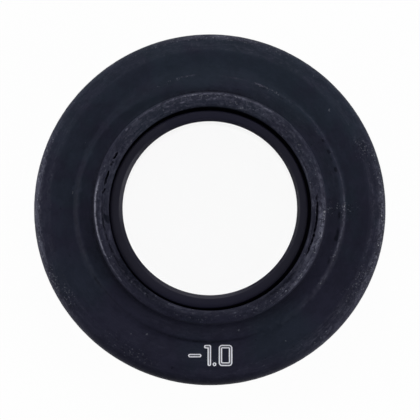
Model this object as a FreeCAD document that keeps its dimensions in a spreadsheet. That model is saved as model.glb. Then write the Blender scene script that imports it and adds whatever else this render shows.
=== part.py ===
import FreeCAD, Part
import Sketcher
import math
import os
import re

# Round screw-in dioptre correction lens for a viewfinder eyepiece, in millimetres.
# The optical axis is Z, with +Z towards the eye and -Y towards the side that carries the strength.
# It stands on the end of its threaded spigot, at Z = 0.

# Every size that can be set by itself, written once: name, value, what it measures.
SIZES = [
    ("spigot_wall", 1.00, "Bore of the spigot to the crests of its fine thread"),
    ("spigot_length", 2.40, "Spigot end to the flange seat"),
    ("relief_width", 0.45, "Groove at the root of the thread, along the axis"),
    ("relief_depth", 0.35, "Groove at the root of the thread, inwards, and outwards in the flange's face"),
    ("face_relief", 0.08, "How deep that groove goes into the flange's face"),
    ("lead_chamfer", 0.30, "Lead-in at the start of the thread"),
    ("mouth_chamfer", 0.20, "Mouth of the bore at the spigot end"),
    ("tongue_width", 0.80, "How far the flange's tongue stands out past its seat, into the rubber"),
    ("flange_thickness", 1.20, "Flange seat to flange front"),
    ("tongue_setback", 0.45, "Flange seat to the back of the tongue"),
    ("edge_break", 0.08, "Small chamfer on turned metal edges"),
    ("tube_wall", 0.26, "Wall of the front tube"),
    ("tube_height", 1.40, "Flange front to tube front"),
    ("lip_width", 0.415, "How far the front lip reaches in over the bore of the glass"),
    ("lip_thickness", 0.45, "Tube front to the lens seat"),
    ("lip_chamfer", 0.21, "Chamfer from the tube front into the opening"),
    ("tube_chamfer", 0.09, "Chamfer outside the tube front"),
    ("glass_radius", 5.35, "Outside of the glass"),
    ("glass_thickness", 1.60, "Glass, at its edge"),
    ("glass_bevel", 0.10, "Ground bevel at the edges of the glass"),
    ("glass_flat", 0.20, "Flat ring round the hollow face"),
    ("glass_curve", 517.0, "Radius of the hollow face, one dioptre in crown glass"),
    ("glass_clearance", 0.03, "Gap round the glass"),
    ("glass_proud", 0.20, "How far the glass stands out of its bore towards the retaining ring"),
    ("cell_step", 0.12, "Bore of the glass out to the bore of the retaining ring"),
    ("cell_clearance", 0.03, "Gap round the retaining ring"),
    ("retainer_thickness", 1.00, "Retaining ring along the axis"),
    ("retainer_width", 0.33, "Retaining ring across its section"),
    ("retainer_chamfer", 0.08, "Chamfers of the retaining ring"),
    ("slot_width", 0.90, "Spanner slots"),
    ("slot_depth", 0.45, "Spanner slots"),
    ("outer_radius", 10.00, "Outside of the rubber"),
    ("rubber_wall", 0.88, "Rubber round the edge of the flange"),
    ("rubber_clearance", 0.02, "Gap between the flange and the rubber at their round faces"),
    ("rubber_setback", 0.10, "Flange seat to the back of the rubber"),
    ("pad_thickness", 0.75, "Rubber over the flange, outer face"),
    ("roll_width", 0.70, "Width of the roll-off of the outer face"),
    ("roll_radius", 1.70, "Radius of that roll-off"),
    ("rim_width", 0.30, "Width of the rounded rim, seen from the front"),
    ("rim_drop", 0.38, "Height of the rounded rim"),
    ("rim_curve", 0.90, "Radius of the rounded rim"),
    ("back_chamfer", 0.15, "Chamfer of the rubber's back edge"),
    ("inner_face_width", 0.85, "Inner face, from the collar to the step"),
    ("step_slope", 0.25, "Width of the slope of the step"),
    ("step_height", 0.25, "Inner face over outer face"),
    ("collar_gap", 0.15, "Open gap between the tube and the collar"),
    ("collar_width", 0.80, "Collar across its top"),
    ("collar_draft", 0.06, "How much wider the collar is at its foot"),
    ("collar_height", 0.57, "Inner face to the edges of the collar's crown"),
    ("collar_crown", 1.10, "Radius of the crown"),
    ("crown_break", 0.05, "Small chamfer at the edges of the crown"),
]

# Heights and radii that pieces share, as sums of those sizes.
SEAT = "spigot_length"
TONGUE_BACK = SEAT + " + tongue_setback"
FLANGE_FRONT = SEAT + " + flange_thickness"
TUBE_FRONT = FLANGE_FRONT + " + tube_height"
GLASS_FRONT = TUBE_FRONT + " - lip_thickness"
GLASS_BACK = GLASS_FRONT + " - glass_thickness"
GLASS_BORE = "glass_radius + glass_clearance"
WINDOW_RADIUS = GLASS_BORE + " - lip_width"
TUBE_RADIUS = GLASS_BORE + " + tube_wall"
CELL_RADIUS = GLASS_BORE + " + cell_step"
THREAD_RADIUS = CELL_RADIUS + " + spigot_wall"
GLASS_BORE_END = GLASS_BACK + " + glass_proud"
RETAINER_BACK = GLASS_BACK + " - retainer_thickness"
RETAINER_OUTSIDE = CELL_RADIUS + " - cell_clearance"
RETAINER_OPENING = RETAINER_OUTSIDE + " - retainer_width"
GROOVE_FLOOR = "outer_radius - rubber_wall"
FLANGE_RADIUS = GROOVE_FLOOR + " - rubber_clearance"
SEAT_RADIUS = FLANGE_RADIUS + " - tongue_width"
RUBBER_BACK = SEAT + " + rubber_setback"
OUTER_FACE = FLANGE_FRONT + " + pad_thickness"
INNER_FACE = OUTER_FACE + " + step_height"
COLLAR_INSIDE = TUBE_RADIUS + " + collar_gap"
COLLAR_OUTSIDE = COLLAR_INSIDE + " + collar_width"
COLLAR_FOOT = COLLAR_OUTSIDE + " + collar_draft"
COLLAR_EDGE = INNER_FACE + " + collar_height"
STEP_TOP = COLLAR_FOOT + " + inner_face_width"
STEP_FOOT = STEP_TOP + " + step_slope"
BORDER_RADIUS = "outer_radius - rim_width"
BORDER_HEIGHT = OUTER_FACE + " - (roll_radius - sqrt(roll_radius ^ 2 - roll_width ^ 2))"
FLAT_RADIUS = BORDER_RADIUS + " - roll_width"
HOLLOW_RADIUS = "(glass_radius - glass_bevel - glass_flat)"
HOLLOW_DEPTH = "(glass_curve - sqrt(glass_curve ^ 2 - " + HOLLOW_RADIUS + " ^ 2))"

FUNCTIONS = ("sqrt",)
TOUCH = 1e-4

doc = FreeCAD.newDocument("correction_lens")


def fill_sheet():
    """Spreadsheet of driving sizes, one row each."""
    sheet = doc.addObject("Spreadsheet::Sheet", "sizes")
    for row, (name, value, meaning) in enumerate(SIZES, start=1):
        sheet.set("A%d" % row, meaning)
        sheet.set("B%d" % row, str(value))
        sheet.setAlias("B%d" % row, name)
    doc.recompute()
    return sheet


sheet = fill_sheet()


def bound(rule):
    """The rule with each size's name pointing at its cell."""
    return re.sub(r"[a-z_]+", lambda word: word[0] if word[0] in FUNCTIONS else "sizes." + word[0], rule)


def measure(rule):
    """Present value of a rule."""
    return float(sheet.evalExpression(bound(rule)))


def new_body(label):
    body = doc.addObject("PartDesign::Body", label)
    body.Label = label
    return body


def new_sketch(body, name, role):
    """Empty sketch on one of the body's own origin planes."""
    sketch = body.newObject("Sketcher::SketchObject", name)
    plane = [item for item in body.Origin.OriginFeatures if item.Role == role][0]
    sketch.AttachmentSupport = [(plane, "")]
    sketch.MapMode = "FlatFace"
    return sketch


def bind(sketch, constraint, name, rule):
    """Add a dimension to the sketch and tie it to the sheet."""
    index = sketch.addConstraint(constraint)
    sketch.renameConstraint(index, name)
    sketch.setExpression("Constraints." + name, bound(rule))


def arc_between(start, end, radius):
    """Anticlockwise arc from start to end, with its centre on the left of the way there."""
    chord = end - start
    middle = (start + end) * 0.5
    left = FreeCAD.Vector(-chord.y, chord.x, 0).normalize()
    centre = middle + left * math.sqrt(radius ** 2 - (chord.Length / 2) ** 2)
    circle = Part.Circle(centre, FreeCAD.Vector(0, 0, 1), radius)
    first = math.atan2(start.y - centre.y, start.x - centre.x)
    last = math.atan2(end.y - centre.y, end.x - centre.x)
    return Part.ArcOfCircle(circle, first, last)


def draw_section(body, name, corners):
    """Closed section in the XZ plane, anticlockwise from corner to corner.

    A corner is (radius, height), or (radius, height, curve) where the side after it is an arc of
    that radius: a crown, or a hollow where the curve is marked so.
    """
    sketch = new_sketch(body, name, "XZ_Plane")
    places = [FreeCAD.Vector(measure(c[0]), measure(c[1]), 0) for c in corners]
    starts = []
    ends = []
    for i, corner in enumerate(corners):
        here = places[i]
        there = places[(i + 1) % len(places)]
        if len(corner) == 2:
            side = sketch.addGeometry(Part.LineSegment(here, there))
            starts.append((side, 1))
            ends.append((side, 2))
            continue
        rule = corner[2]
        if rule.startswith("hollow "):
            rule = rule[len("hollow "):]
            side = sketch.addGeometry(arc_between(there, here, measure(rule)))
            starts.append((side, 2))
            ends.append((side, 1))
        else:
            side = sketch.addGeometry(arc_between(here, there, measure(rule)))
            starts.append((side, 1))
            ends.append((side, 2))
        bind(sketch, Sketcher.Constraint("Radius", side, measure(rule)), "curve_%d" % i, rule)
    for i, corner in enumerate(corners):
        sketch.addConstraint(Sketcher.Constraint("Coincident", *ends[i - 1], *starts[i]))
        for axis, kind, rule, value in (
            (-2, "DistanceX", corner[0], places[i].x),
            (-1, "DistanceY", corner[1], places[i].y),
        ):
            if rule == "0":
                sketch.addConstraint(Sketcher.Constraint("PointOnObject", *starts[i], axis))
            else:
                dimension = Sketcher.Constraint(kind, -1, 1, *starts[i], value)
                bind(sketch, dimension, "%s_%d" % ("across" if axis == -2 else "up", i), rule)
    return sketch


def turn(body, name, sketch):
    """Revolve a section all the way round the optical axis."""
    feature = body.newObject("PartDesign::Revolution", name)
    feature.Profile = sketch
    feature.ReferenceAxis = (sketch, ["V_Axis"])
    feature.Angle = 360
    sketch.Visibility = False
    doc.recompute()
    return feature


def ring_edges(feature, places):
    """Names of the round edges at these radii and heights."""
    names = []
    for radius, height in places:
        for i, edge in enumerate(feature.Shape.Edges, start=1):
            curve = edge.Curve
            if not isinstance(curve, Part.Circle):
                continue
            level = abs(curve.Center.z - measure(height)) < TOUCH
            if level and abs(curve.Radius - measure(radius)) < TOUCH:
                names.append("Edge%d" % i)
    return names


def chamfer(body, name, places, size):
    """Chamfer the round edges at these radii and heights."""
    base = body.Tip
    feature = body.newObject("PartDesign::Chamfer", name)
    feature.Base = (base, ring_edges(base, places))
    feature.setExpression("Size", bound(size))
    doc.recompute()
    return feature


def make_lens_mount():
    """Turned metal: front tube with its lip, flange with a thin tongue, spigot and stepped bore."""
    body = new_body("lens_mount")
    section = draw_section(body, "mount_section", [
        (CELL_RADIUS, "0"),
        (THREAD_RADIUS, "0"),
        (THREAD_RADIUS, SEAT),
        (SEAT_RADIUS, SEAT),
        (SEAT_RADIUS, TONGUE_BACK),
        (FLANGE_RADIUS, TONGUE_BACK),
        (FLANGE_RADIUS, FLANGE_FRONT),
        (TUBE_RADIUS, FLANGE_FRONT),
        (TUBE_RADIUS, TUBE_FRONT),
        (WINDOW_RADIUS, TUBE_FRONT),
        (WINDOW_RADIUS, GLASS_FRONT),
        (GLASS_BORE, GLASS_FRONT),
        (GLASS_BORE, GLASS_BORE_END),
        (CELL_RADIUS, GLASS_BORE_END),
    ])
    turn(body, "mount_turned", section)
    relief = draw_section(body, "relief_section", [
        (THREAD_RADIUS + " - relief_depth", SEAT + " - relief_width"),
        (THREAD_RADIUS + " + relief_depth", SEAT + " - relief_width"),
        (THREAD_RADIUS + " + relief_depth", SEAT + " + face_relief"),
        (THREAD_RADIUS + " - relief_depth", SEAT + " + face_relief"),
    ])
    groove = body.newObject("PartDesign::Groove", "thread_relief")
    groove.Profile = relief
    groove.ReferenceAxis = (relief, ["V_Axis"])
    groove.Angle = 360
    doc.recompute()
    chamfer(body, "thread_lead", [(THREAD_RADIUS, "0")], "lead_chamfer")
    chamfer(body, "bore_mouth", [(CELL_RADIUS, "0")], "mouth_chamfer")
    chamfer(body, "window_chamfer", [(WINDOW_RADIUS, TUBE_FRONT)], "lip_chamfer")
    chamfer(body, "tube_edge", [(TUBE_RADIUS, TUBE_FRONT)], "tube_chamfer")
    chamfer(body, "broken_edges", [
        (SEAT_RADIUS, SEAT),
        (FLANGE_RADIUS, TONGUE_BACK),
        (FLANGE_RADIUS, FLANGE_FRONT),
    ], "edge_break")
    return body


def make_lens():
    """Plano-concave glass: flat against the lip, hollow towards the camera."""
    body = new_body("lens")
    section = draw_section(body, "glass_section", [
        ("0", GLASS_BACK + " + " + HOLLOW_DEPTH, "hollow glass_curve"),
        (HOLLOW_RADIUS, GLASS_BACK),
        ("glass_radius - glass_bevel", GLASS_BACK),
        ("glass_radius", GLASS_BACK + " + glass_bevel"),
        ("glass_radius", GLASS_FRONT + " - glass_bevel"),
        ("glass_radius - glass_bevel", GLASS_FRONT),
        ("0", GLASS_FRONT),
    ])
    turn(body, "glass_ground", section)
    return body


def make_retaining_ring():
    """Threaded ring behind the glass, with two slots for a spanner across its back."""
    body = new_body("retaining_ring")
    section = draw_section(body, "retainer_section", [
        (RETAINER_OPENING, RETAINER_BACK),
        (RETAINER_OUTSIDE, RETAINER_BACK),
        (RETAINER_OUTSIDE, GLASS_BACK),
        (RETAINER_OPENING, GLASS_BACK),
    ])
    turned = turn(body, "retainer_turned", section)
    chamfer(body, "retainer_edges", [
        (RETAINER_OPENING, RETAINER_BACK),
        (RETAINER_OUTSIDE, RETAINER_BACK),
        (RETAINER_OUTSIDE, GLASS_BACK),
    ], "retainer_chamfer")
    before = body.Shape.Volume

    sketch = new_sketch(body, "slot_outline", "XY_Plane")
    sketch.setExpression("AttachmentOffset.Base.z", bound(RETAINER_BACK))
    half_length = measure(CELL_RADIUS)
    half_width = measure("slot_width") / 2
    corners = [
        FreeCAD.Vector(-half_length, -half_width, 0),
        FreeCAD.Vector(half_length, -half_width, 0),
        FreeCAD.Vector(half_length, half_width, 0),
        FreeCAD.Vector(-half_length, half_width, 0),
    ]
    for i in range(4):
        sketch.addGeometry(Part.LineSegment(corners[i], corners[(i + 1) % 4]))
    for i in range(4):
        sketch.addConstraint(Sketcher.Constraint("Coincident", i, 2, (i + 1) % 4, 1))
    sketch.addConstraint(Sketcher.Constraint("Horizontal", 0))
    sketch.addConstraint(Sketcher.Constraint("Vertical", 1))
    sketch.addConstraint(Sketcher.Constraint("Horizontal", 2))
    sketch.addConstraint(Sketcher.Constraint("Symmetric", 0, 1, 2, 1, -1, 1))
    length = Sketcher.Constraint("DistanceX", 0, 1, 0, 2, 2 * half_length)
    width = Sketcher.Constraint("DistanceY", 1, 1, 1, 2, 2 * half_width)
    bind(sketch, length, "length", "2 * (" + CELL_RADIUS + ")")
    bind(sketch, width, "width", "slot_width")
    slots = body.newObject("PartDesign::Pocket", "spanner_slots")
    slots.Profile = sketch
    slots.Reversed = True
    slots.setExpression("Length", bound("slot_depth"))
    doc.recompute()
    if not body.Shape.Volume < before < turned.Shape.Volume:
        raise RuntimeError("a cut in the retaining ring removed nothing")
    return body


def make_rubber_face_ring():
    """Moulded rubber: grips the flange tongue, with a stepped face, a rounded rim and a collar."""
    body = new_body("rubber_face_ring")
    inside_hook = SEAT_RADIUS + " + rubber_clearance"
    section = draw_section(body, "rubber_section", [
        (inside_hook, RUBBER_BACK),
        ("outer_radius", RUBBER_BACK),
        ("outer_radius", BORDER_HEIGHT + " - rim_drop", "rim_curve"),
        (BORDER_RADIUS, BORDER_HEIGHT, "roll_radius"),
        (FLAT_RADIUS, OUTER_FACE),
        (STEP_FOOT, OUTER_FACE),
        (STEP_TOP, INNER_FACE),
        (COLLAR_FOOT, INNER_FACE),
        (COLLAR_OUTSIDE, COLLAR_EDGE, "collar_crown"),
        (COLLAR_INSIDE, COLLAR_EDGE),
        (COLLAR_INSIDE, FLANGE_FRONT),
        (GROOVE_FLOOR, FLANGE_FRONT),
        (GROOVE_FLOOR, TONGUE_BACK),
        (inside_hook, TONGUE_BACK),
    ])
    turn(body, "rubber_moulded", section)
    chamfer(body, "crown_edges", [
        (COLLAR_OUTSIDE, COLLAR_EDGE),
        (COLLAR_INSIDE, COLLAR_EDGE),
    ], "crown_break")
    chamfer(body, "back_edge", [("outer_radius", RUBBER_BACK)], "back_chamfer")
    return body


def failed_objects():
    """Objects whose last recompute went wrong."""
    return [item.Name for item in doc.Objects if "Invalid" in item.State or "Error" in item.State]


bodies = [make_lens_mount(), make_lens(), make_retaining_ring(), make_rubber_face_ring()]
doc.recompute()
if failed_objects():
    raise RuntimeError("these failed: " + ", ".join(failed_objects()))
for body in bodies:
    if body.Shape.isNull() or not body.Shape.isValid():
        raise RuntimeError(body.Label + " has no valid shape")

os.makedirs("parts", exist_ok=True)
for body in bodies:
    body.Shape.exportStep("parts/%s.step" % body.Label)
    box = body.Shape.BoundBox
    print("%-18s %8.3f mm3  Z %.3f to %.3f" % (body.Label, body.Shape.Volume, box.ZMin, box.ZMax))
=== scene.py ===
import math

import bpy
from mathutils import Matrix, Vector, noise

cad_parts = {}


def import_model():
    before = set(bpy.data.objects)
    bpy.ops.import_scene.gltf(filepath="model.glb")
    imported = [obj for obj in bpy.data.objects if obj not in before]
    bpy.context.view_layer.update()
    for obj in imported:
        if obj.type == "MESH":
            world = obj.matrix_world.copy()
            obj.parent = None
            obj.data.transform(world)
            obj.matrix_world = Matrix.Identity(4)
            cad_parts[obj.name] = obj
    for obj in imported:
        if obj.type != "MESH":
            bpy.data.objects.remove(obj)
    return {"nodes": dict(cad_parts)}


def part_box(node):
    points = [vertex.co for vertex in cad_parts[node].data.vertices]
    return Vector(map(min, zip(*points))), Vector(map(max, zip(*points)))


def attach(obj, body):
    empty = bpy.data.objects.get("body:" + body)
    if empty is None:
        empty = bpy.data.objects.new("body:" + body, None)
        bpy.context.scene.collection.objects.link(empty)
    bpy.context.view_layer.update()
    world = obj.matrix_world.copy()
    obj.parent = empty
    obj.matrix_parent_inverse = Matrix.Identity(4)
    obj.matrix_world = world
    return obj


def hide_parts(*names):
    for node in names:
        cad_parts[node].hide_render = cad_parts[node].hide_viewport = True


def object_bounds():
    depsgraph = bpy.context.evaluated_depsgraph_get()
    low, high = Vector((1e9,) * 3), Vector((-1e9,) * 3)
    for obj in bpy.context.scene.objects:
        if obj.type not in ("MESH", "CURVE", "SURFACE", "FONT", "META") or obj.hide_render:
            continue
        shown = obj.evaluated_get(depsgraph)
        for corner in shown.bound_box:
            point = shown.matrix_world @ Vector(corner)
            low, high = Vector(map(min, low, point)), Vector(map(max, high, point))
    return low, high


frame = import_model()
cad_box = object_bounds()

# Lengths below are in millimetres, and angles in degrees anticlockwise from +X, the picture's right.
MM = 0.001
FULL_TURN = 2 * math.pi


def reach(node):
    """Outer radius, lowest height and highest height of a node of the frame, in millimetres."""
    low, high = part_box(node)
    return high[0] / MM, low[2] / MM, high[2] / MM


OUTER_RADIUS, RUBBER_BACK, CREST = reach("rubber_face_ring")
FLANGE_RADIUS, SPIGOT_END, TUBE_FRONT = reach("lens_mount")
GLASS_RADIUS, GLASS_BACK, GLASS_FRONT = reach("lens")

# Metal mount: the flange and the tongue that the rubber grips.
SEAT = 2.40
TONGUE_BACK = 2.85
FLANGE_FRONT = 3.60
SEAT_RADIUS = 8.30
EDGE_BREAK = 0.08
# The tube in front and its lip round the window, and how far each stands off the axis.
TUBE_RADIUS = 5.64
TUBE_CHAMFER = 0.09
TUBE_SHIFT = (-0.047, -0.085)
WINDOW_RADIUS = 4.955
LIP_CHAMFER = 0.19
LIP_SHIFT = (-0.022, -0.015)
# The cell: the bore of the glass and the threaded bore of the retaining ring.
GLASS_BORE = GLASS_RADIUS + 0.03
GLASS_BORE_END = GLASS_BACK + 0.20
CELL_RADIUS = 5.50
MOUTH_CHAMFER = 0.20
# The spigot: its thread, its lead-in and the groove at its root.
THREAD_RADIUS = 6.50
THREAD_PITCH = 0.50
THREAD_DEPTH = 0.27
BORE_THREAD_SHARE = 0.8
LEAD_CHAMFER = 0.30
RELIEF_RADIUS = 6.15
RELIEF_OUTSIDE = 6.85
RELIEF_START = 1.95
FACE_RELIEF = 2.48
MOUNT_TURNS = 360

# Rubber: the hook and the groove behind, then the face from the collar out to the rim.
HOOK_RADIUS = 8.32
GROOVE_RADIUS = 9.12
OUTER_FACE = 4.35
INNER_FACE = 4.60
COLLAR_INSIDE = 5.79
COLLAR_UNEVEN = 6.30
COLLAR_OUTSIDE = 6.59
COLLAR_FOOT = 6.65
STEP_TOP = 7.50
STEP_FOOT = 7.75
STEP_MARGIN = 0.60
ROLL_START = 9.00
RIM_START = 9.60
RUBBER_TURNS = 680
# Section of the rubber where it is rounded: the rim from side to face, and the collar from foot to gap.
RIM_LINE = [
    (9.94, 2.75), (9.97, 3.00), (9.99, 3.22), (10.0, 3.45), (9.99, 3.68), (9.945, 3.90), (9.86, 4.035),
    (9.74, 4.135), (9.60, 4.192), (9.42, 4.242), (9.20, 4.300), (9.06, 4.337), (ROLL_START, OUTER_FACE),
]
COLLAR_LINE = [
    (COLLAR_FOOT + 0.03, INNER_FACE), (COLLAR_FOOT - 0.01, 4.63), (6.628, 4.78), (6.608, 5.00),
    (COLLAR_OUTSIDE, 5.11), (6.565, 5.158), (6.51, 5.19), (6.42, 5.218), (6.28, 5.24), (6.14, 5.244),
    (6.0, 5.234), (5.90, 5.20), (5.835, 5.14), (5.80, 5.03), (COLLAR_INSIDE, 4.88),
]
# How far the inside of the collar stands off its circle: waves in a turn, cosine part and sine part.
GAP_WAVES = [(1, 0.019, -0.038), (2, -0.034, -0.010), (3, 0.0, -0.008), (0, -0.016, 0.0)]
# Cracks along the crest of the collar: start, end, depth.
CRACK_RADIUS = 6.10
CRACK_WIDTH = 0.085
CRACKS = [(334, 366, 0.20), (150, 154.5, 0.20), (156.5, 167, 0.22), (168, 172, 0.14), (178, 213, 0.06)]

# The strength, "-1.0", as raised ink on the outer face. Boxes are left, right, low, high and rounding.
INK_LIFT = 0.006
INK_EDGE = (0.070, 0.054)
MINUS = (-1.228, -0.478, -8.464, -8.272, 0.095)
POINT = (0.160, 0.372, -8.966, -8.756, 0.105)
NOUGHT = (0.504, 1.280, -8.958, -7.758, 0.19)
NOUGHT_HOLE = (0.700, 1.080, -8.752, -7.950, 0.03)
ONE_STEM = (-0.129, 0.072, -8.952, -7.760)
ONE_FLAG = (-0.322, -7.955)

# Patches of the rubber, pale with wear, dark with dirt and painted shade, and gritty: angle, radius, half
# angle, half width, strength.
# The step's tables hold as far as STEP_REACH beyond its foot, and the rim's from there on.
STEP_REACH = 0.3
COLLAR_WORN = [
    (350, 6.48, 13, 0.13, 1.2), (352, 6.30, 11, 0.13, 0.95), (341, 6.36, 6, 0.20, 0.8),
    (325, 6.48, 18, 0.12, 0.9), (311, 6.20, 6, 0.16, 0.6), (10, 6.46, 16, 0.14, 0.5),
    (2.5, 5.90, 2.6, 0.08, 1.2), (20, 5.88, 15, 0.05, 0.6), (62, 6.48, 7, 0.08, 0.8),
    (74, 6.47, 4, 0.09, 1.0), (92, 6.49, 28, 0.07, 1.0), (64, 6.50, 12, 0.06, 0.8),
    (122, 6.48, 20, 0.07, 0.35), (180, 6.525, 17, 0.055, 3.0), (194, 6.52, 16, 0.055, 2.2),
    (168, 6.50, 7, 0.06, 0.9), (210, 6.51, 14, 0.055, 1.3), (160.5, 6.28, 0.9, 0.06, 1.6),
    (171, 6.45, 0.9, 0.06, 1.5), (136.5, 6.48, 2.2, 0.07, 0.8), (225, 6.10, 20, 0.06, 0.4),
    (183, 6.23, 11, 0.04, 0.7), (87.5, 6.20, 0.9, 0.06, 1.3), (104.5, 6.17, 1.8, 0.05, 0.9),
    (112.5, 6.22, 1.4, 0.06, 0.9), (253, 6.40, 1, 0.06, 0.9), (259.5, 6.34, 1.2, 0.08, 0.7),
    (268, 6.23, 0.8, 0.06, 1.4), (273, 6.20, 1.2, 0.05, 0.9), (283.5, 6.14, 0.9, 0.05, 0.9),
    (262, 5.87, 24, 0.05, 0.3), (250, 5.95, 6, 0.05, 0.4), (333, 6.22, 16, 0.15, 0.50),
    (2, 6.24, 10, 0.13, 0.3), (90, 6.24, 34, 0.12, 0.12),
]
# Dirt on the collar, with painted shade at its foot all round and on its outer slope at the bottom.
COLLAR_DIRT_AND_SHADE = [
    (185.5, 5.92, 1.4, 0.12, 5.0), (187.2, 5.88, 2.2, 0.08, 3.0), (184.2, 6.00, 0.9, 0.07, 2.5),
    (350, 5.93, 9, 0.13, 0.55), (225, 5.96, 34, 0.32, 1.15), (276, 6.00, 36, 0.30, 0.30),
    (135, 6.25, 24, 0.40, 0.18), (310, 6.00, 18, 0.20, 0.3), (255, 6.40, 40, 0.20, 0.25),
    (215, 6.69, 44, 0.10, 1.0), (90, 6.68, 60, 0.10, 0.7), (90, 6.74, 45, 0.20, 0.25),
    (170, 6.68, 50, 0.10, 0.9), (315, 6.69, 30, 0.10, 0.6), (222, 6.38, 26, 0.30, 0.22),
    (312, 6.0, 22, 0.20, 0.6), (319, 6.04, 24, 0.26, 0.30), (262, 6.66, 44, 0.08, 0.2),
    (182, 5.90, 14, 0.16, 0.4), (184, 6.12, 16, 0.04, 0.7), (190, 6.40, 20, 0.05, 0.35),
    (250, 6.26, 32, 0.20, 0.32), (208, 5.80, 22, 0.12, 0.45),
]
STEP_WORN = [
    (357, 7.64, 14, 0.09, 0.85), (342, 7.58, 12, 0.08, 0.8), (328, 7.60, 6, 0.12, 0.7),
    (20, 7.66, 22, 0.05, 0.6), (180, 7.60, 28, 0.08, 0.13), (150, 7.62, 12, 0.06, 0.08),
    (205, 7.58, 12, 0.08, 0.14), (45, 7.70, 18, 0.07, 0.35), (315, 7.66, 12, 0.07, 0.22),
    (100, 7.66, 7, 0.05, 0.6), (80, 7.57, 9, 0.05, 0.6), (68, 7.58, 4, 0.07, 1.0),
    (60, 7.60, 10, 0.05, 0.3), (272, 7.10, 56, 0.42, 0.17), (40, 7.10, 75, 0.42, 0.15),
    (255, 8.40, 52, 0.65, 0.09),
]
# Dirt and dark pits along the step, with painted shade on its slope at the bottom.
STEP_DIRT_AND_SHADE = [
    (349, 7.40, 3.4, 0.10, 1.9), (346.5, 7.37, 1.6, 0.12, 2.6), (357, 7.36, 3.0, 0.08, 1.4),
    (336, 7.40, 2, 0.08, 1.2), (17.2, 7.49, 1.7, 0.10, 2.4), (22, 7.46, 1.2, 0.05, 1.0),
    (25.6, 7.48, 1.6, 0.10, 2.8), (31, 7.50, 1.2, 0.08, 2.2), (57, 7.50, 2, 0.07, 0.7),
    (66, 7.50, 2, 0.07, 0.7), (43, 7.46, 3, 0.06, 0.5), (80, 7.55, 4, 0.06, 0.4),
    (262, 7.60, 38, 0.08, 0.9), (213, 7.62, 4, 0.07, 0.9), (222, 7.56, 14, 0.06, 0.5),
    (135, 7.62, 28, 0.14, 0.18), (165, 7.62, 52, 0.14, 0.42), (200, 7.05, 20, 0.42, 0.40),
    (2, 8.15, 16, 0.45, 0.16),
]
RIM_WORN = [
    (354, 9.76, 36, 0.24, 0.62), (322, 9.55, 26, 0.50, 0.4), (180, 9.82, 38, 0.24, 0.85),
    (88, 9.84, 30, 0.20, 0.55), (215, 9.90, 20, 0.20, 0.3), (0, 9.24, 22, 0.07, 0.45),
    (2, 9.36, 16, 0.04, 0.25), (255, 8.40, 52, 0.65, 0.09), (75, 9.35, 55, 0.35, 0.10),
]
# Dirt on the face near the rim, with painted shade on the rim's rounding at the bottom.
RIM_DIRT_AND_SHADE = [
    (262, 9.97, 60, 0.45, 0.85), (242, 9.40, 24, 0.36, 0.22), (343, 8.75, 24, 0.50, 0.26),
    (320, 9.40, 18, 0.34, 0.32), (165, 8.75, 26, 0.45, 0.12),
]
GRIT = [
    (0, 7.10, 5.0, 0.80, 0.9), (359, 7.95, 4.5, 0.55, 0.8), (338.5, 7.45, 3.5, 0.25, 0.8),
    (325, 7.55, 3.5, 0.25, 0.7), (22, 9.25, 6.0, 0.40, 0.8), (17, 9.70, 9.0, 0.35, 0.7),
    (333, 9.30, 12, 0.50, 0.6), (30, 7.50, 12, 0.12, 0.6), (62, 7.55, 14, 0.14, 0.7),
    (108, 7.58, 16, 0.14, 0.5), (212, 9.45, 8, 0.40, 0.7), (204, 9.75, 10, 0.35, 0.6),
    (240, 9.30, 14, 0.45, 0.6), (258, 6.40, 20, 0.20, 0.6), (290, 6.35, 16, 0.16, 0.6),
    (308, 6.40, 10, 0.16, 0.6), (40, 6.20, 14, 0.14, 0.6), (90, 9.80, 50, 0.30, 0.35),
    (75, 6.0, 8, 0.25, 0.6), (352, 9.84, 30, 0.18, 1.25), (180, 9.88, 36, 0.14, 0.6),
    (348, 6.46, 20, 0.15, 1.05), (182, 6.50, 18, 0.09, 1.1), (90, 6.42, 34, 0.14, 0.5),
    (322, 6.44, 12, 0.12, 0.5),
]
# Wear of the rubber outside those patches, which starts above a height.
UNWORN_BELOW = OUTER_FACE - 1.3
CREST_WEAR = 0.42
ROLL_WEAR = 0.14
RIM_WEAR = 0.08
# Painted shade in the cracks, darker the deeper they are.
CRACK_SHADE = 6
# Stretch of the crest that is hardly worn: middle, half angle, share and the radius where it starts.
SOUND_CREST = (262, 48, 0.95, 6.12)
# Blotches of a bluer black on the face: x, y, radius, share.
BLUE_BLOTCHES = [
    (4.0, -7.1, 2.6, 0.75), (-7.4, -4.0, 2.4, 0.6), (8.0, -2.6, 0.9, 0.5), (-5.0, 1.0, 1.6, 0.35),
    (-8.0, 0.9, 1.2, 0.7), (-7.7, 3.6, 1.4, 0.6), (7.3, 1.3, 1.0, 0.5), (6.7, 5.7, 1.5, 0.9),
    (-0.6, -8.0, 1.5, 0.5), (-4.6, 8.0, 1.4, 0.6), (7.0, 2.8, 1.0, 0.5),
]
# Places where a highlight is painted on the metal lip round the window: x, y, radius, share.
LIP_HIGHLIGHTS = [(-0.9, -5.1, 3.9, 1.0), (-4.6, 2.2, 1.6, 0.8), (-5.1, 0.2, 1.2, 0.6)]

# Colours of the rubber, of what lies on it and of the shade painted on it.
BLACK_DARK = (0.0107, 0.0109, 0.0237)
BLACK_LIGHT = (0.0146, 0.0149, 0.0308)
# Teal blacks: the rubber's own tint in blotches, and towards the top a painted sheen.
TEAL_DARK = (0.0107, 0.0163, 0.0278)
TEAL_LIGHT = (0.0145, 0.0208, 0.0350)
WORN_GREY = (0.108, 0.110, 0.150)
BARE_GREY = (0.24, 0.24, 0.29)
SPARK_GREY = (0.24, 0.25, 0.30)
SPECK_GREY = (0.16, 0.17, 0.20)
CRUMB_GREY = (0.13, 0.14, 0.18)
CRUMB_PALE = (0.48, 0.49, 0.52)
CRUMB_BLACK = (0.0010, 0.0015, 0.0040)
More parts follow.
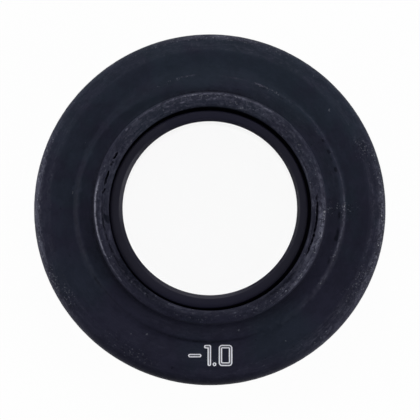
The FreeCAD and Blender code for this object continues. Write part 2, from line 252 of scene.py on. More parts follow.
# Black of dirt and pits, also used for painted shade; the second is where either lies thick.
DIRT_AND_SHADE_BLACK = (0.0019, 0.0024, 0.0085)
CAKED_DIRT_AND_SHADE_BLACK = (0.0010, 0.0022, 0.0085)
# Colours of the metal with its painted shade and highlight, the glass and the print.
METAL_DARK = (0.0104, 0.0100, 0.0192)
METAL_LIGHT = (0.0134, 0.0128, 0.0232)
# Bluish painted shade for the metal, where the walls of the dark gap show.
METAL_SHADE_BLUE = (0.0120, 0.0120, 0.0480)
# Paler grey of the highlight painted on the lip round the window.
LIP_HIGHLIGHT_GREY = (0.031, 0.030, 0.044)
GLASS_CLEAR = (1.0, 1.0, 1.0)
PRINT_WHITE = ((0.95, 0.95, 1.0), (0.85, 0.85, 0.92))
PRINT_THIN = ((0.11, 0.11, 0.14), (0.07, 0.07, 0.095))

# Studio, whose sizes and distances are in metres, except the floor's gap below the object.
WHITE = (1.0, 1.0, 1.0)
FLOOR_COLOUR = (0.95, 0.95, 0.95)
FLOOR_WHITE_SHARE = 0.97
FLOOR_GAP = 0.02
FLOOR_HALF = 1.5
SKY_COLOUR = (0.92, 0.96, 1.0)
SKY_STRENGTH = 0.16
# Reflections see white where they point lower than the second of these, and none above the first.
HORIZON = (0.35, 0.05)
# Soft square lamps: name, azimuth, elevation, side and power in watts.
LAMPS = [
    ("left_lamp", 178, 18, 0.20, 0.62),
    ("right_lamp", -14, 18, 0.20, 0.72),
    ("top_lamp", 90, 22, 0.20, 0.40),
    ("high_lamp", 90, 60, 0.22, 0.24),
]
LAMP_DISTANCE = 0.35
CAMERA_TILT = 3.88
CAMERA_DISTANCE = 0.6
CAMERA_NEAR = 0.01
SENSOR_WIDTH = 36
PICTURE_WIDTH = 420
# What the middle of the picture shows and how much of the face one pixel spans, in millimetres.
AIM = (0.010, -0.005, 3.25)
PIXEL = 0.05694


def flowing(points, longest):
    """Smooth line through points, ends included, cut into sides no longer than longest(height)."""
    line = [Vector(p) for p in points]
    line = [line[0] * 2 - line[1]] + line + [line[-1] * 2 - line[-2]]
    made = []
    for before, here, there, after in zip(line, line[1:], line[2:], line[3:]):
        parts = max(1, math.ceil((there - here).length / longest(here.y)))
        for k in range(parts):
            t = k / parts
            bend = (there - before) * t + (before * 2 - here * 5 + there * 4 - after) * t ** 2
            bend += (here * 3 - before - there * 3 + after) * t ** 3
            spot = here + bend / 2
            made.append((spot.x, spot.y))
    return made + [tuple(points[-1])]


def rounded(corners, steps=4):
    """Closed outline with each corner (radius, height, rounding) replaced by a small arc."""
    longest_share = 0.45
    outline = []
    for i, (x, z, size) in enumerate(corners):
        if not size:
            outline.append((x, z))
            continue
        here = Vector((x, z))
        back = Vector(corners[i - 1][:2]) - here
        on = Vector(corners[(i + 1) % len(corners)][:2]) - here
        a = here + back.normalized() * min(size, back.length * longest_share)
        b = here + on.normalized() * min(size, on.length * longest_share)
        for k in range(steps + 1):
            t = k / steps
            point = a * (1 - t) ** 2 + here * 2 * t * (1 - t) + b * t ** 2
            outline.append((point.x, point.y))
    return outline


def finer(outline, longest):
    """The closed outline with every side cut so that none is longer than longest(radius, height)."""
    points = []
    for i, (x, z) in enumerate(outline):
        nx, nz = outline[(i + 1) % len(outline)]
        limit = longest((x + nx) / 2, (z + nz) / 2)
        parts = max(1, math.ceil(math.hypot(nx - x, nz - z) / limit))
        for k in range(parts):
            points.append((x + (nx - x) * k / parts, z + (nz - z) * k / parts))
    return points


def put(name, data):
    """Adds an object with this data to the scene."""
    made = bpy.data.objects.new(name, data)
    bpy.context.collection.objects.link(made)
    return made


def lathe(name, outline, turns, shape, paint=None, sharp=30):
    """Ring turned from a closed outline; shape moves a point and paint gives its wear, its dirt with
    painted shade, and its grit.
    """
    verts = []
    painted = []
    for i in range(turns):
        angle = FULL_TURN * i / turns
        c = math.cos(angle)
        s = math.sin(angle)
        for x, z in outline:
            px, py, pz = shape(x, z, angle, Vector((x * c, x * s, z)))
            verts.append((px * MM, py * MM, pz * MM))
            if paint:
                painted.append(paint(x, z, math.degrees(angle)))
    rows = len(outline)
    faces = []
    for i in range(turns):
        j = (i + 1) % turns
        for k in range(rows):
            m = (k + 1) % rows
            faces.append((i * rows + k, j * rows + k, j * rows + m, i * rows + m))
    mesh = bpy.data.meshes.new(name)
    mesh.from_pydata(verts, [], faces)
    mesh.update()
    for layer, values in zip(("wear", "dirt_and_shade", "grit"), zip(*painted)):
        mesh.attributes.new(layer, "FLOAT", "POINT").data.foreach_set("value", values)
    mesh.shade_smooth()
    mesh.set_sharp_from_angle(angle=math.radians(sharp))
    return put(name, mesh)


def smooth(value):
    """0 below 0 and 1 above 1, with a soft rise between."""
    t = min(1.0, max(0.0, value))
    return t * t * (3 - 2 * t)


def stretch(angle, middle, half):
    """1 at the middle of a stretch of the ring, falling smoothly to 0 at its ends."""
    off = abs((angle - middle + 180) % 360 - 180) / half
    return max(0.0, 1 - off * off) ** 2


def near(value, middle, half):
    """1 at the middle of a band, falling to 0 at its edges."""
    off = abs(value - middle) / half
    return max(0.0, 1 - off * off)


def patches(table, x, angle):
    """Strength of a table's patches added up, at a radius and an angle."""
    return sum(strength * stretch(angle, middle, half) * near(x, radius, width)
               for middle, radius, half, width, strength in table)


def drift(angle, rate, first, second):
    """Smooth random number, mostly between -0.5 and 0.5, along the ring; the last two pick its pattern."""
    return noise.noise(Vector((angle * rate, first, second)))


def crack_depth(x, angle):
    """Depth of the cracks in the collar at a radius and an angle."""
    deepest = 0.0
    for start, end, depth in CRACKS:
        length = stretch(angle, (start + end) / 2, (end - start) / 2 + 1) ** 0.25
        wander = 0.06 * drift(angle, 0.35, start, 0)
        width = CRACK_WIDTH * (0.75 + 0.5 * drift(angle, 0.9, start, 5))
        broken = smooth(1.0 + 2.2 * drift(angle, 0.40, start, 9))
        deepest = max(deepest, depth * length * broken * near(x, CRACK_RADIUS + wander, width))
    return deepest


def rubber_paint(x, z, angle):
    """Wear, dirt with painted shade, and grit of the rubber at a point of its section."""
    if z < UNWORN_BELOW:
        return 0.0, 0.0, 0.0
    grit = patches(GRIT, x, angle)
    if z > INNER_FACE + 0.02 and x < COLLAR_FOOT + 0.08:
        middle, half, share, start = SOUND_CREST
        sound = share * stretch(angle, middle, half) * smooth((x - start) / 0.12)
        worn = CREST_WEAR * smooth((z - INNER_FACE - 0.2) / 0.3) * (1 - sound)
        # Painted shade in the cracks and at the collar's foot goes in with the dirt.
        dirt_and_shade = patches(COLLAR_DIRT_AND_SHADE, x, angle) + CRACK_SHADE * crack_depth(x, angle)
        return worn + patches(COLLAR_WORN, x, angle), dirt_and_shade, grit
    if x < STEP_FOOT + STEP_REACH:
        # The step's dirt includes painted shade on its slope at the bottom.
        dirt_and_shade = patches(STEP_DIRT_AND_SHADE, x, angle) + patches(COLLAR_DIRT_AND_SHADE, x, angle)
        return patches(STEP_WORN, x, angle), dirt_and_shade, grit
    worn = ROLL_WEAR * smooth((x - ROLL_START) / 0.15) + RIM_WEAR * smooth((x - RIM_START) / 0.3)
    # The rim's dirt includes painted shade on its rounding at the bottom.
    return worn + patches(RIM_WORN, x, angle), patches(RIM_DIRT_AND_SHADE, x, angle), grit


def step_height(x, degrees):
    """Height of the face near the step, which is soft at the top of the ring and short above the number."""
    x += 0.035 * drift(degrees, 0.16, 1, 4) + 0.030 * drift(degrees, 0.7, 6, 2)
    soft = 0.05 + 0.60 * stretch(degrees, 95, 50) + 0.10 * stretch(degrees, 228, 40)
    soft += 0.12 * smooth(2 * drift(degrees, 0.3, 8, 8))
    foot = STEP_FOOT - 0.10 * smooth(2.5 * stretch(degrees, 271, 20))
    run = foot - STEP_TOP + soft + min(soft, 0.05 + soft * 0.9)
    return INNER_FACE - (INNER_FACE - OUTER_FACE) * smooth((x - STEP_TOP + soft) / run)


def rubber_shape(x, z, angle, point):
    """Small unevenness of the moulded and worn rubber."""
    degrees = math.degrees(angle)
    on_face = OUTER_FACE - 0.001 < z < INNER_FACE + 0.001
    if on_face and STEP_TOP - STEP_MARGIN - 0.05 < x < STEP_FOOT + STEP_MARGIN + 0.05:
        point.z = step_height(x, degrees)
        ragged = near(x, STEP_FOOT - 0.12, 0.20) * (0.25 + 0.75 * stretch(degrees, 345, 60))
        point.z -= 0.018 * ragged * abs(noise.noise(point * 5))
    if z > FLANGE_FRONT + 0.1 and x < COLLAR_INSIDE + 0.14:
        off = sum(even * math.cos(n * angle) + odd * math.sin(n * angle) for n, even, odd in GAP_WAVES)
        point.x += off * math.cos(angle)
        point.y += off * math.sin(angle)
    if z > INNER_FACE + 0.3 and x < COLLAR_FOOT:
        rough = 0.010 * noise.noise(point * 5) + 0.016 * noise.noise(point * 1.1) - 0.012
        point.z = min(CREST, point.z + rough - crack_depth(x, degrees))
        if x > COLLAR_UNEVEN:
            point.xy *= 1 + 0.0030 * drift(degrees, 0.22, 3, 7) + 0.0016 * drift(degrees, 1, 5, 2)
    if x > RIM_START and z > RUBBER_BACK + 0.2:
        point.xy *= 1 + 0.0004 + 0.0006 * noise.noise(point * 4)
        point.x = max(-OUTER_RADIUS, min(OUTER_RADIUS, point.x))
        point.y = max(-OUTER_RADIUS, min(OUTER_RADIUS, point.y))
    return point


def rubber_ring():
    """The moulded rubber with its rim, step and collar, and the groove that grips the flange."""
    corners = [
        (HOOK_RADIUS, RUBBER_BACK, 0.05),
        (9.92, RUBBER_BACK, 0.15),
        *[(*p, 0) for p in flowing(RIM_LINE, lambda z: 0.08 if z > 3.65 else 0.16)],
        (STEP_FOOT + STEP_MARGIN, OUTER_FACE, 0),
        (STEP_FOOT, OUTER_FACE, 0),
        (STEP_TOP, INNER_FACE, 0),
        (STEP_TOP - STEP_MARGIN, INNER_FACE, 0),
        *[(*p, 0) for p in flowing(COLLAR_LINE, lambda z: 0.045 if z > 4.98 else 0.14)],
        (COLLAR_INSIDE, FLANGE_FRONT, 0),
        (GROOVE_RADIUS, FLANGE_FRONT, 0),
        (GROOVE_RADIUS, TONGUE_BACK, 0),
        (HOOK_RADIUS, TONGUE_BACK, 0),
    ]

    def longest(x, z):
        if z > INNER_FACE + 0.5 and abs(x - CRACK_RADIUS) < 0.13:
            return 0.03
        at_step = STEP_TOP - STEP_MARGIN - 0.01 < x < STEP_FOOT + STEP_MARGIN + 0.01
        return 0.06 if at_step and z > OUTER_FACE - 0.01 else 0.5

    outline = finer(rounded(corners), longest)
    piece = lathe("rubber_ring_moulded", outline, RUBBER_TURNS, rubber_shape, rubber_paint, sharp=40)
    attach(piece, "root")
    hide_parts("rubber_face_ring")
    return piece


def thread(z, angle, end):
    """Depth of a right-handed V thread below its crest, from the spigot's end to a height."""
    if not SPIGOT_END < z < end:
        return 0.0
    turn = (z / THREAD_PITCH - angle / FULL_TURN) % 1.0
    valley = 1 - abs(2 * turn - 1)
    return THREAD_DEPTH * min(1.0, max(0.0, valley * 1.25 - 0.12))


def mount_shape(x, z, angle, point):
    """Cuts the fine threads on the spigot and in its bore, and shifts the tube and its lip."""
    if z < RELIEF_START + 0.01 and x > THREAD_RADIUS - LEAD_CHAMFER - 0.01:
        crest = THREAD_RADIUS - thread(z, angle, RELIEF_START)
        if x > crest:
            point.x *= crest / x
            point.y *= crest / x
    if z < GLASS_BACK and x < CELL_RADIUS + MOUTH_CHAMFER + 0.01:
        root = CELL_RADIUS + thread(z, angle, GLASS_BACK) * BORE_THREAD_SHARE
        if x < root:
            point.x *= root / x
            point.y *= root / x
    if z > FLANGE_FRONT + 0.05 and x > TUBE_RADIUS - TUBE_CHAMFER - 0.05:
        point.x += TUBE_SHIFT[0]
        point.y += TUBE_SHIFT[1]
    elif z > TUBE_FRONT - 0.02 and x < WINDOW_RADIUS + LIP_CHAMFER + 0.02:
        point.x += LIP_SHIFT[0]
        point.y += LIP_SHIFT[1]
    return point


def mount():
    """The metal mount: spigot, flange, tube and cell in one."""
    corners = [
        (CELL_RADIUS + MOUTH_CHAMFER, SPIGOT_END, 0),
        (THREAD_RADIUS - LEAD_CHAMFER, SPIGOT_END, 0),
        (THREAD_RADIUS, SPIGOT_END + LEAD_CHAMFER, 0),
        (THREAD_RADIUS, RELIEF_START, 0),
        (RELIEF_RADIUS, RELIEF_START, 0.03),
        (RELIEF_RADIUS, FACE_RELIEF, 0.03),
        (RELIEF_OUTSIDE, FACE_RELIEF, 0.02),
        (RELIEF_OUTSIDE, SEAT, 0.01),
        (SEAT_RADIUS - EDGE_BREAK, SEAT, 0.02),
        (SEAT_RADIUS, SEAT + EDGE_BREAK, 0.02),
        (SEAT_RADIUS, TONGUE_BACK, 0),
        (FLANGE_RADIUS, TONGUE_BACK, 0.05),
        (FLANGE_RADIUS, FLANGE_FRONT, 0.05),
        (TUBE_RADIUS, FLANGE_FRONT, 0.02),
        (TUBE_RADIUS, TUBE_FRONT - TUBE_CHAMFER, 0.08),
        (TUBE_RADIUS - TUBE_CHAMFER, TUBE_FRONT, 0.08),
        (WINDOW_RADIUS + LIP_CHAMFER, TUBE_FRONT, 0.012),
        (WINDOW_RADIUS, TUBE_FRONT - LIP_CHAMFER, 0.012),
        (WINDOW_RADIUS, GLASS_FRONT, 0),
        (GLASS_BORE, GLASS_FRONT, 0),
        (GLASS_BORE, GLASS_BORE_END, 0),
        (CELL_RADIUS, GLASS_BORE_END, 0),
        (CELL_RADIUS, SPIGOT_END + MOUTH_CHAMFER, 0),
    ]

    def longest(x, z):
        in_bore = x < CELL_RADIUS + 0.3
        on_spigot = THREAD_RADIUS - 0.4 < x < THREAD_RADIUS + 0.1
        return 0.035 if z < GLASS_BACK and (in_bore or on_spigot) else 0.6

    outline = finer(rounded(corners, steps=2), longest)
    piece = lathe("mount_threaded", outline, MOUNT_TURNS, mount_shape, sharp=30)
    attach(piece, "root")
    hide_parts("lens_mount")
    return piece


def rounded_box(x0, x1, y0, y1, corner, steps=6):
    """Anticlockwise outline of a box with round corners."""
    points = []
    for cx, cy, first in ((x1 - corner, y1 - corner, 0), (x0 + corner, y1 - corner, 90),
                          (x0 + corner, y0 + corner, 180), (x1 - corner, y0 + corner, 270)):
        for k in range(steps + 1):
            turn = math.radians(first + 90 * k / steps)
            points.append((cx + corner * math.cos(turn), cy + corner * math.sin(turn)))
    return points


def number_outlines(inset):
    """Strokes of the number drawn in by an inset (across, up), each as (outline, hole or None)."""
    side, end = inset
    least = 0.01

    def box(x0, x1, y0, y1, corner):
        return rounded_box(x0 + side, x1 - side, y0 + end, y1 - end, max(least, corner - side))

    def hole(x0, x1, y0, y1, corner):
        return rounded_box(x0 - side, x1 + side, y0 - end, y1 + end, corner + end)

    left, right, foot, head = ONE_STEM
    flag_left, flag_low = ONE_FLAG
    corners = [
        (right - side, foot + end, 0.10), (right - side, head - end, 0.10),
        (flag_left + side, head - end, 0.10), (flag_left + side, flag_low + end, 0.08),
        (left + side, flag_low + end, 0.02), (left + side, foot + end, 0.10),
    ]
    one = rounded([(x, y, max(least, size - side / 2)) for x, y, size in corners])
    return [(box(*MINUS), None), (one, None), (box(*POINT), None), (box(*NOUGHT), hole(*NOUGHT_HOLE))]


def flat_curve(name, loops, height):
    """Flat shape as thick as the ink from closed outlines; inner ones are holes."""
    data = bpy.data.curves.new(name, "CURVE")
    data.dimensions = "2D"
    data.fill_mode = "BOTH"
    for loop in loops:
        spline = data.splines.new("POLY")
        spline.points.add(len(loop) - 1)
        for target, (x, y) in zip(spline.points, loop):
            target.co = (x * MM, y * MM, 0, 1)
        spline.use_cyclic_u = True
    data.extrude = INK_LIFT * MM / 2
    source = bpy.data.objects.new(name, data)
    mesh = bpy.data.meshes.new_from_object(source)
    mesh.name = name
    for vert in mesh.vertices:
        vert.co.z += height * MM
    bpy.data.objects.remove(source)
    piece = put(name, mesh)
    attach(piece, "root")
    return piece


def number():
    """The number in two pieces: the white edges of its strokes and the thin ink between them."""
    edges = []
    middles = []
    for (outline, gap), (small, small_gap) in zip(number_outlines((0.0, 0.0)), number_outlines(INK_EDGE)):
        edges += [outline, small] + ([gap, small_gap] if gap else [])
        middles += [small] + ([small_gap] if gap else [])
    height = OUTER_FACE + INK_LIFT / 2
    made = flat_curve("number_edges", edges, height), flat_curve("number_middles", middles, height)
    return made


class Graph:
    """Shorthand for building the nodes of a material or a world."""

    def __init__(self, owner, output="OutputMaterial"):
        owner.use_nodes = True
        self.owner = owner
        self.tree = owner.node_tree
        self.tree.nodes.clear()
        self.output = self.node(output)

    def node(self, kind, **settings):
        made = self.tree.nodes.new("ShaderNode" + kind)
        for key, value in settings.items():
            setattr(made, key, value)
        return made

    def feed(self, socket, value):
        """Links a socket to another one, or sets its constant; None leaves it alone."""
        if isinstance(value, bpy.types.NodeSocket):
            self.tree.links.new(value, socket)
        elif value is not None:
            socket.default_value = (*value, 1) if socket.type == "RGBA" else value

    def math(self, operation, a, b=None, clamp=False):
        made = self.node("Math", operation=operation, use_clamp=clamp)
        self.feed(made.inputs[0], a)
        self.feed(made.inputs[1], b)
        return made.outputs[0]

    def add(self, a, b):
        return self.math("ADD", a, b)

    def times(self, value, *factors, clamp=False):
        for factor in factors:
            value = self.math("MULTIPLY", value, factor, clamp)
        return value

    def vector(self, operation, a, b=None, scale=None):
        made = self.node("VectorMath", operation=operation)
        self.feed(made.inputs[0], a)
        self.feed(made.inputs[1], b)
        if operation == "SCALE":
            self.feed(made.inputs["Scale"], scale)
        return made.outputs["Value"] if operation == "LENGTH" else made.outputs[0]

    def place(self):
        """Place on the piece, in millimetres."""
        return self.vector("SCALE", self.node("TexCoord").outputs["Object"], scale=1 / MM)

    def split(self, place):
        """The three parts of a place."""
        made = self.node("SeparateXYZ")
        self.feed(made.inputs[0], place)
        return made.outputs

    def radius(self, place):
        """Distance from the axis."""
        return self.vector("LENGTH", self.vector("MULTIPLY", place, (1, 1, 0)))

    def polar(self, place, across, along):
        """Place as (radius, angle, height), scaled across and along the turning direction."""
        parts = self.split(place)
        angle = self.math("ARCTAN2", parts[1], parts[0])
        joined = self.node("CombineXYZ")
        self.feed(joined.inputs[0], self.times(self.radius(place), across))
        self.feed(joined.inputs[1], self.times(angle, along))
        self.feed(joined.inputs[2], self.times(parts[2], across))
        return joined.outputs[0]

    def noise(self, place, scale, detail=2.0, rough=0.5, output="Fac"):
        """Soft noise from 0 to 1; as output "Color" it has three values of its own at each place."""
        made = self.node("TexNoise")
        self.feed(made.inputs["Vector"], place)
        for name, value in (("Scale", scale), ("Detail", detail), ("Roughness", rough)):
            made.inputs[name].default_value = value
        return made.outputs[output]

    def shaken(self, place, scale, amount):
        """Place moved a little by noise, which makes ragged what is drawn there."""
        off = self.vector("SUBTRACT", self.noise(place, scale, output="Color"), (0.5, 0.5, 0.5))
        return self.vector("ADD", place, self.vector("SCALE", off, scale=amount))

    def cells(self, place, scale):
        """Distance to the nearest of scattered points, and that point's random number."""
        made = self.node("TexVoronoi")
        self.feed(made.inputs["Vector"], place)
        made.inputs["Scale"].default_value = scale
        parts = self.node("SeparateColor")
        self.feed(parts.inputs[0], made.outputs["Color"])
        return made.outputs["Distance"], parts.outputs[0]

    def specks(self, place, scale, size, shown, lift=None):
        """Scattered round specks with soft edges; shown says from which random number on one is seen."""
        distance, chance = self.cells(place, scale)
        if lift is not None:
            chance = self.add(chance, lift)
        return self.times(self.band(distance, *size), self.band(chance, *shown))

    def spots(self, place, table, core, start=None, ragged=None):
        """Greatest share of a table's spots, each full within core times its radius."""
        greatest = start
        for x, y, size, share in table:
            off = self.radius(self.vector("SUBTRACT", place, (x, y, 0)))
            if ragged is not None:
                off = self.add(off, ragged)
            spot = self.times(self.band(off, size, size * core), share)
            greatest = spot if greatest is None else self.math("MAXIMUM", greatest, spot)
        return greatest

    def band(self, value, low, high, kind="SMOOTHSTEP"):
        """0 below low, 1 above high, or the other way round where high is less than low."""
        made = self.node("MapRange", interpolation_type=kind)
        self.feed(made.inputs["Value"], value)
        made.inputs["From Min"].default_value = low
        made.inputs["From Max"].default_value = high
        return made.outputs[0]

    def attribute(self, name):
        return self.node("Attribute", attribute_name=name).outputs["Fac"]

    def mix(self, share, a, b):
        """Colour a where share is 0 and colour b where it is 1."""
        made = self.node("Mix", data_type="RGBA")
        self.feed(made.inputs["Factor"], share)
        self.feed(made.inputs["A"], a)
        self.feed(made.inputs["B"], b)
        return made.outputs["Result"]

    def bump(self, heights):
        """Bumps laid one over the other, each (height, strength, depth in millimetres)."""
        normal = None
        for height, strength, depth in heights:
            made = self.node("Bump")
            made.inputs["Strength"].default_value = strength
            made.inputs["Distance"].default_value = depth * MM
            self.feed(made.inputs["Height"], height)
            self.feed(made.inputs["Normal"], normal)
            normal = made.outputs[0]
        return normal

    def shader(self, kind, **settings):
        """Shader node with constants or links on its own sockets."""
        made = self.node(kind)
        for key, value in settings.items():
            self.feed(made.inputs[key.replace("_", " ")], value)
        return made.outputs[0]

    def blend(self, share, a, b):
        """Shader a where share is 0 and shader b where it is 1."""
        made = self.node("MixShader")
        for socket, value in zip(made.inputs, (share, a, b)):
            self.feed(socket, value)
        return made.outputs[0]

    def finish(self, shader):
        self.feed(self.output.inputs[0], shader)
        return self.owner


def material_graph(name):
    return Graph(bpy.data.materials.new(name))


def rubber_material():
    """Black rubber, bluer in places with a painted sheen towards the top, worn pale in patches, with grit,
    pits, specks and dirt on it, and painted shade in its cracks, at the collar's foot and on faces turned
    down at the bottom.
    """
    g = material_graph("worn_black_rubber")
    place = g.place()
    wear = g.attribute("wear")
    dirt_and_shade = g.attribute("dirt_and_shade")
    blotch = g.noise(place, 1.1, 4.0, 0.65)
    grain = g.noise(place, 22.0, 2.0, 0.6)
    strands = g.noise(g.polar(place, 11.0, 7.0), 1.0, 3.0, 0.6)
    patchy = g.band(g.noise(place, 6.0, 4.0, 0.75), 0.36, 0.66)
    streaky = g.band(strands, 0.34, 0.66)
    flecks = g.cells(g.polar(g.shaken(place, 2.5, 0.5), 8.0, 22.0), 1.0)[1]
    ragged = g.shaken(place, 6.0, 0.25)

    # Two blacks that run into each other, both bluer in blotches of the rubber's own tint and bluer towards
    # the top as a painted sheen, but not where worn.
    hue = g.math("SUBTRACT", g.noise(place, 0.42, 3.0, 0.6), 0.5)
    # The share rises towards the top (+Y); that part is a painted sheen.
    teal_and_sheen = g.band(g.add(g.times(hue, 30.0), g.times(g.split(place)[1], 0.8)), -2.5, 8.5)
    teal_and_sheen = g.spots(place, BLUE_BLOTCHES, 0.3, teal_and_sheen, g.times(hue, 4.0))
    teal_and_sheen = g.times(teal_and_sheen, g.band(wear, 0.9, 0.1))
    tone = g.add(g.times(g.noise(place, 0.30, 3.0, 0.6), 0.5), g.times(blotch, 0.5))
    tone = g.add(tone, g.times(g.math("SUBTRACT", flecks, 0.5), 0.12))
    dark = g.mix(teal_and_sheen, BLACK_DARK, TEAL_DARK)
    light = g.mix(teal_and_sheen, BLACK_LIGHT, TEAL_LIGHT)
    colour = g.mix(g.band(tone, 0.38, 0.62), dark, light)

    # Wear: a soft haze, crisp where it is stronger, and nearly bare where it is strongest.
    edge = g.add(g.times(patchy, 0.8), g.times(streaky, 0.6))
    crisp = g.band(g.add(wear, edge), 0.95, 1.35)
    haze = g.times(wear, g.add(0.12, g.times(streaky, 0.14)))
    worn = g.add(haze, g.times(crisp, wear, 0.28))
    worn = g.times(worn, g.add(0.35, g.times(flecks, 1.3)), clamp=True)
    colour = g.mix(worn, colour, WORN_GREY)
    bare = g.band(g.add(wear, g.times(flecks, 0.9)), 2.0, 3.3)
    colour = g.mix(g.times(bare, 0.7), colour, BARE_GREY)
    spark = g.specks(ragged, 6.5, (0.34, 0.14), (0.98, 1.22), g.times(wear, 0.34))
    colour = g.mix(g.times(spark, 0.6), colour, SPARK_GREY)

    # Grit: pale and black crumbs.
    distance, kind = g.cells(ragged, 9.5)
    crumb = g.times(g.band(distance, 0.50, 0.25), g.attribute("grit"), clamp=True)
    pale = g.times(crumb, g.band(kind, 0.70, 0.80))
    black = g.times(crumb, g.band(kind, 0.50, 0.44))
    lit = g.mix(g.times(wear, 1.2, clamp=True), CRUMB_GREY, CRUMB_PALE)
    colour = g.mix(g.times(pale, 0.58), colour, lit)
    colour = g.mix(g.times(black, 0.85), colour, CRUMB_BLACK)

    # A few pits and pale specks anywhere, then a film of dirt and painted shade, caked where it is thick.
    pit = g.specks(ragged, 1.9, (0.13, 0.07), (0.80, 0.95))
    colour = g.mix(g.times(pit, 0.6), colour, DIRT_AND_SHADE_BLACK)
    speck = g.specks(ragged, 1.15, (0.075, 0.035), (0.55, 0.9))
    colour = g.mix(g.times(speck, 0.45), colour, SPECK_GREY)
    dirt_and_shade_film = g.times(dirt_and_shade, g.add(0.45, g.times(patchy, 0.75)), clamp=True)
    colour = g.mix(dirt_and_shade_film, colour, DIRT_AND_SHADE_BLACK)
    caked_dirt_and_shade = g.band(g.add(dirt_and_shade, g.times(patchy, 0.7)), 1.25, 1.65)
    colour = g.mix(g.times(caked_dirt_and_shade, 0.9), colour, CAKED_DIRT_AND_SHADE_BLACK)

    roughness = g.add(g.add(0.58, g.times(grain, 0.16)), g.times(worn, 0.15))
    normal = g.bump([(grain, 0.30, 0.010), (blotch, 0.25, 0.03), (strands, 0.30, 0.02), (pale, 0.5, 0.02)])
    return g.finish(g.shader("BsdfPrincipled", Base_Color=colour, Roughness=roughness, Normal=normal,
                             Specular_IOR_Level=0.12))


def metal_material():
    """Black anodised metal with fine turning rings, a bluish painted shade towards the top and bottom, and
    a painted highlight in places on the lip round the window.
    """
    g = material_graph("black_anodised_metal")
    place = g.place()
    parts = g.split(place)
    rings = g.noise(g.polar(place, 14.0, 1.2), 1.0, 3.0, 0.7)
    fine = g.noise(place, 30.0, 2.0, 0.6)
    colour = g.mix(g.noise(place, 0.8, 3.0, 0.6), METAL_DARK, METAL_LIGHT)
    # Painted bluish shade towards the top and bottom, where the walls of the dark gap are seen.
    shade_blue = g.band(g.math("ABSOLUTE", parts[1]), 3.2, 5.4)
    colour = g.mix(g.times(shade_blue, 0.12), colour, METAL_SHADE_BLUE)
    # Painted highlight on the lip round the window, in the spots of its table.
    lip = g.times(g.band(g.radius(place), 5.21, 5.13), g.band(parts[2], 4.70, 4.78))
    lip_highlight = g.times(g.spots(place, LIP_HIGHLIGHTS, 0.4), lip, g.add(0.55, g.times(fine, 0.9)), clamp=True)
    colour = g.mix(lip_highlight, colour, LIP_HIGHLIGHT_GREY)
    roughness = g.add(0.42, g.times(rings, 0.16))
    normal = g.bump([(rings, 0.15, 0.012), (fine, 0.06, 0.006)])
    return g.finish(g.shader("BsdfPrincipled", Base_Color=colour, Roughness=roughness, Normal=normal,
                             Specular_IOR_Level=0.15))


def glass_material():
    """Clear coated glass with a faint haze in places."""
    g = material_graph("coated_glass")
    haze = g.band(g.noise(g.place(), 0.5, 3.0, 0.6), 0.55, 0.8)
    return g.finish(g.shader("BsdfPrincipled", Base_Color=GLASS_CLEAR, Roughness=g.times(haze, 0.02),
                             Transmission_Weight=1.0, IOR=1.5, Specular_IOR_Level=0.08))


def ink_material(name, light, dark):
    """Matt ink that lies thicker in some places than in others."""
    g = material_graph(name)
    place = g.place()
    colour = g.mix(g.band(g.noise(place, 7.0, 3.0, 0.7), 0.35, 0.7), light, dark)
    normal = g.bump([(g.noise(place, 30.0, 2.0, 0.6), 0.3, 0.004)])
    return g.finish(g.shader("BsdfPrincipled", Base_Color=colour, Roughness=0.6, Normal=normal))


def dress(piece, material):
    """Gives a piece one material in place of what it has."""
    piece.data.materials.clear()
    piece.data.materials.append(material)


def seen_share(g, mirrored=1.0):
    """1 for rays that see the background straight or through glass, and mirrored for reflections of it."""
    path = g.node("LightPath").outputs
    seen = g.math("MAXIMUM", path["Is Camera Ray"], path["Is Transmission Ray"])
    return g.math("MAXIMUM", seen, g.times(path["Is Glossy Ray"], mirrored))


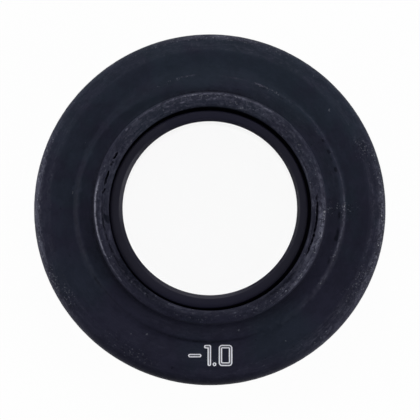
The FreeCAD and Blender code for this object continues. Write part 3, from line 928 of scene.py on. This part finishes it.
def floor():
    """Pale floor under the object, close to white where it is seen, that still takes a shadow."""
    h = FLOOR_HALF
    mesh = bpy.data.meshes.new("floor")
    mesh.from_pydata([(-h, -h, 0), (h, -h, 0), (h, h, 0), (-h, h, 0)], [], [(0, 1, 2, 3)])
    piece = put("floor", mesh)
    piece.location.z = cad_box[0][2] - FLOOR_GAP * MM
    g = material_graph("pale_floor")
    plain = g.shader("BsdfDiffuse", Color=FLOOR_COLOUR)
    white = g.shader("Emission", Color=WHITE)
    dress(piece, g.finish(g.blend(g.times(seen_share(g), FLOOR_WHITE_SHARE), plain, white)))


def world():
    """Pale all round to the camera and through glass, and low down in reflections; the open top is dim."""
    bpy.context.scene.world = bpy.data.worlds.new("studio")
    g = Graph(bpy.context.scene.world, "OutputWorld")
    height = g.split(g.node("TexCoord").outputs["Generated"])[2]
    dim = g.shader("Background", Color=SKY_COLOUR, Strength=SKY_STRENGTH)
    white = g.shader("Background", Color=WHITE)
    g.finish(g.blend(seen_share(g, g.band(height, *HORIZON, kind="LINEAR")), dim, white))


def lamps():
    """Soft square lamps, each looking at the object from its azimuth and elevation."""
    for name, azimuth, elevation, size, power in LAMPS:
        data = bpy.data.lights.new(name, "AREA")
        data.shape = "SQUARE"
        data.size = size
        data.energy = power
        a = math.radians(azimuth)
        e = math.radians(elevation)
        way = Vector((math.cos(a) * math.cos(e), math.sin(a) * math.cos(e), math.sin(e)))
        piece = put(name, data)
        piece.location = way * LAMP_DISTANCE
        piece.rotation_euler = way.to_track_quat("Z", "Y").to_euler()


def camera():
    """Looks straight down on the face, tilted a little towards the number."""
    data = bpy.data.cameras.new("camera")
    data.sensor_width = SENSOR_WIDTH
    data.lens = data.sensor_width * CAMERA_DISTANCE / (PICTURE_WIDTH * PIXEL * MM)
    data.clip_start = CAMERA_NEAR
    tilt = math.radians(CAMERA_TILT)
    piece = put("camera", data)
    piece.location = Vector(AIM) * MM + Vector((0, -math.sin(tilt), math.cos(tilt))) * CAMERA_DISTANCE
    piece.rotation_euler = (tilt, 0, 0)
    bpy.context.scene.camera = piece


def build():
    rubber = rubber_ring()
    metal = mount()
    edges, middles = number()
    dress(rubber, rubber_material())
    black = metal_material()
    dress(metal, black)
    dress(frame["nodes"]["retaining_ring"], black)
    dress(frame["nodes"]["lens"], glass_material())
    dress(edges, ink_material("white_print", *PRINT_WHITE))
    dress(middles, ink_material("thin_print", *PRINT_THIN))
    floor()
    world()
    lamps()
    camera()
    bpy.context.scene.view_settings.view_transform = "Standard"


build()
